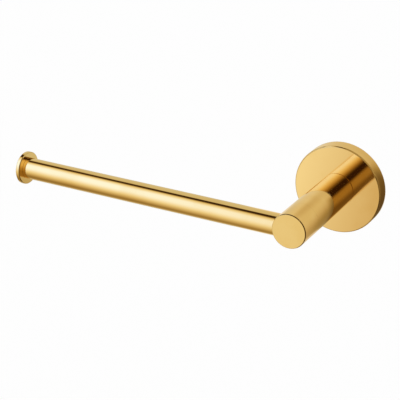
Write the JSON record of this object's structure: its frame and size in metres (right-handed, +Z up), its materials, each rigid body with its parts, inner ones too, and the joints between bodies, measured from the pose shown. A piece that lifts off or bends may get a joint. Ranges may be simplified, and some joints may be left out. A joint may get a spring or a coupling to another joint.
{
  "type": "toilet paper holder",
  "caption": "Wall-mounted holder for a paper roll: round flange, round post standing out from the wall, and a straight arm with a disc end cap.",
  "frame": {"origin": "centre of the flange's back, on the wall", "axes": "+Y into the wall, -X along the arm towards its free end, +Z up"},
  "size_m": [0.1935, 0.0711, 0.05],
  "materials": {
    "gold_coating": "polished gold-coloured coating",
    "turned_brass": "turned, uncoated",
    "screw_steel": "plain steel",
    "cast_zinc": "die-cast, satin"
  },
  "bodies": {
    "holder": {"wall_bracket": "cast_zinc", "flange": "gold_coating", "post_base": "turned_brass", "lock_washer": "screw_steel", "post_screw": "screw_steel", "post_tube": "gold_coating", "post_nose": "gold_coating", "arm_tube": "gold_coating", "arm_root_plug": "turned_brass", "arm_stud": "screw_steel", "end_cap": "gold_coating"},
    "set_screw": {"set_screw": "screw_steel"}
  },
  "joints": [
    {"name": "set_screw_travel", "type": "slide", "parent": "holder", "child": "set_screw", "axis": [0, 0, -1], "range_m": [0, 0.0025]}
  ]
}
